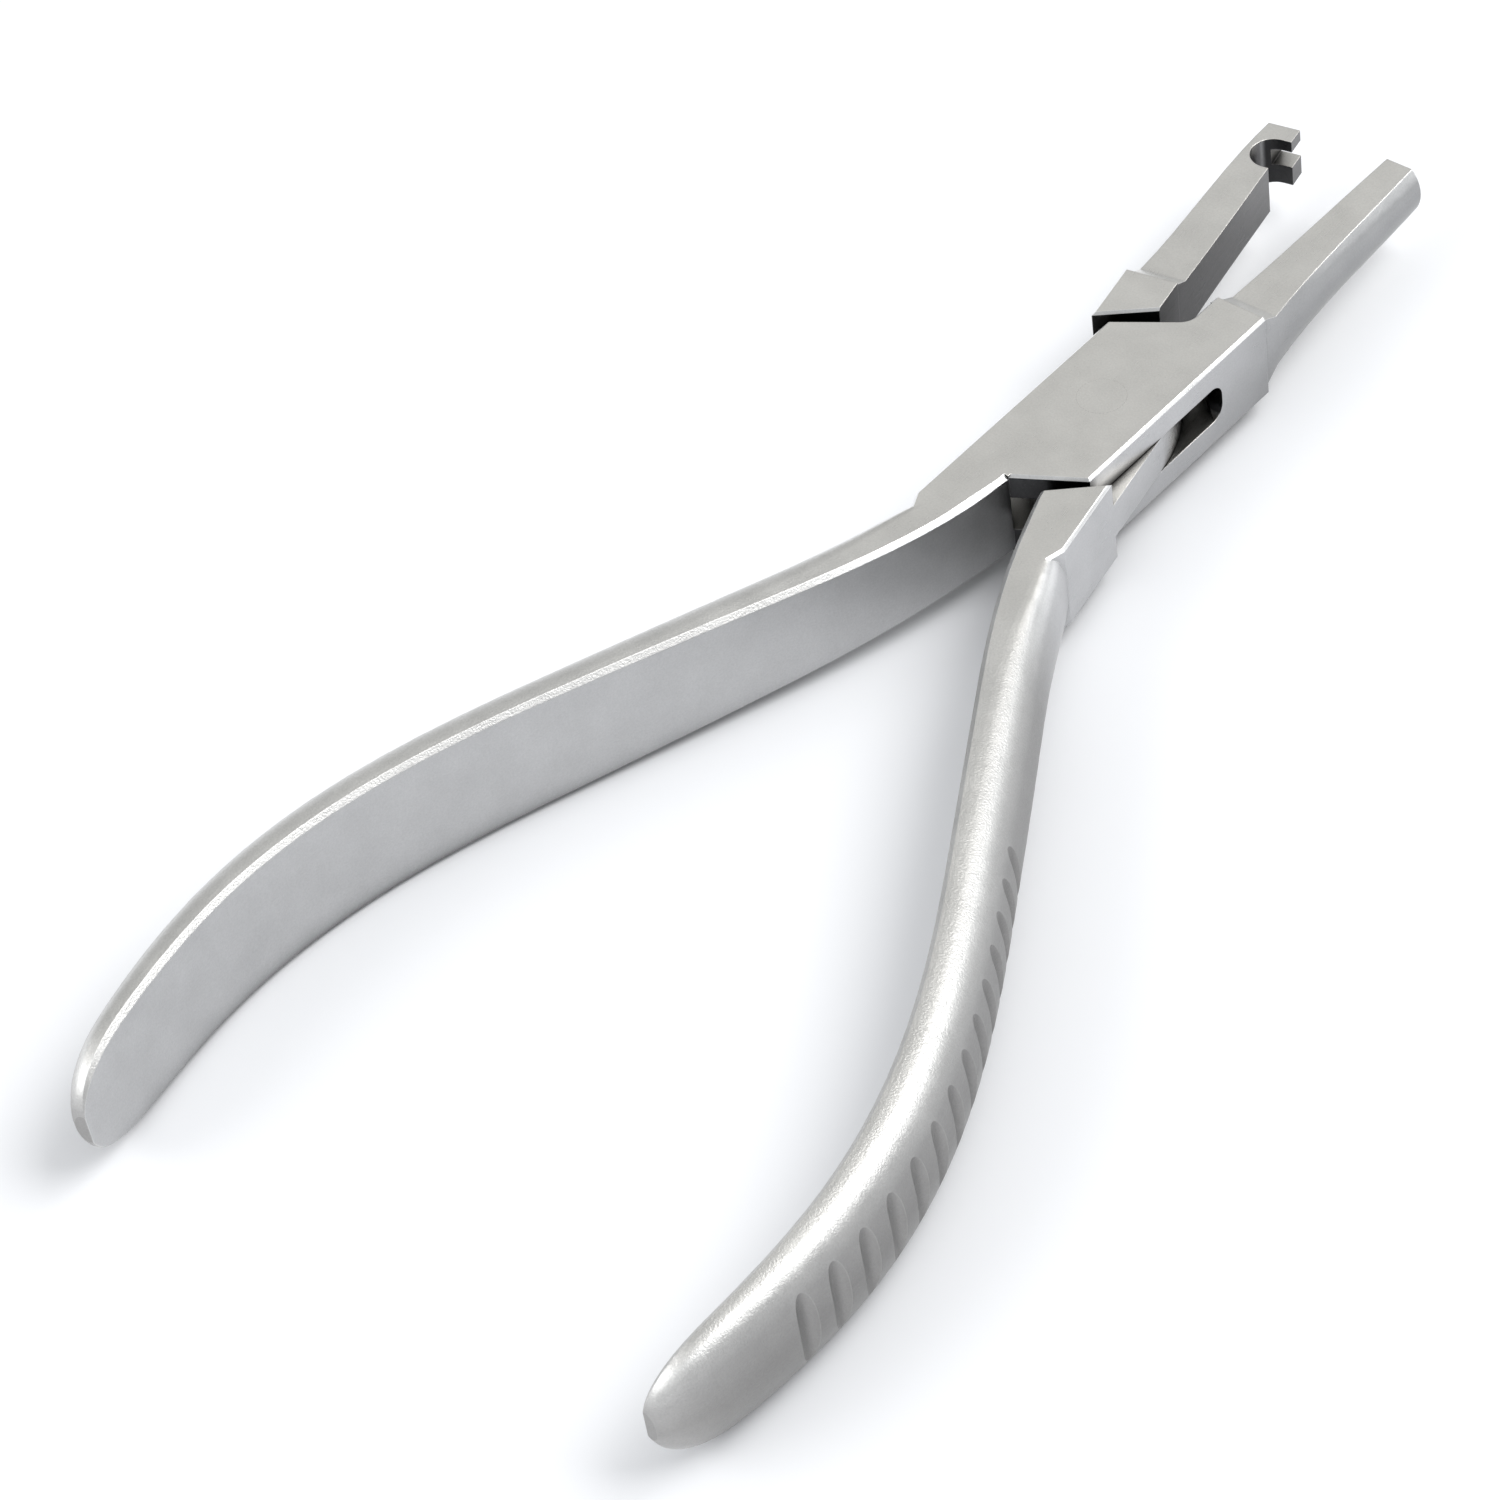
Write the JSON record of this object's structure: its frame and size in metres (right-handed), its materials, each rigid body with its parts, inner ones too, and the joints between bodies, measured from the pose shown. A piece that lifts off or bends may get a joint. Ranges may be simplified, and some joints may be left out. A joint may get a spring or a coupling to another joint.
{
  "type": "crimping pliers",
  "caption": "Slim all-steel crimping pliers: box joint, one flat jaw, one hooked jaw with a small through hole and slotted front wall, bare bowed handles with grip grooves.",
  "frame": {"origin": "pivot axis, level with the outer face of the lower cheek of the box joint", "axes": "+Z along the pivot axis, from the lower cheek to the upper one; +Y along the bisector of the two halves, towards the jaw tips; +X to the side of the plain jaw"},
  "size_m": [0.0602, 0.1325, 0.0114],
  "materials": {
    "female_half": "satin ground stainless steel",
    "male_half": "satin ground stainless steel",
    "pivot_pin": "ground flush with the cheeks"
  },
  "bodies": {
    "female_body": {"female_half": "female_half", "pivot_pin": "pivot_pin"},
    "male_body": {"male_half": "male_half"}
  },
  "joints": [
    {"name": "pivot", "type": "hinge", "parent": "female_body", "child": "male_body", "pos_m": [0, 0, 0.004], "axis": [0, 0, 1], "range_deg": [-12.1, 10]}
  ]
}
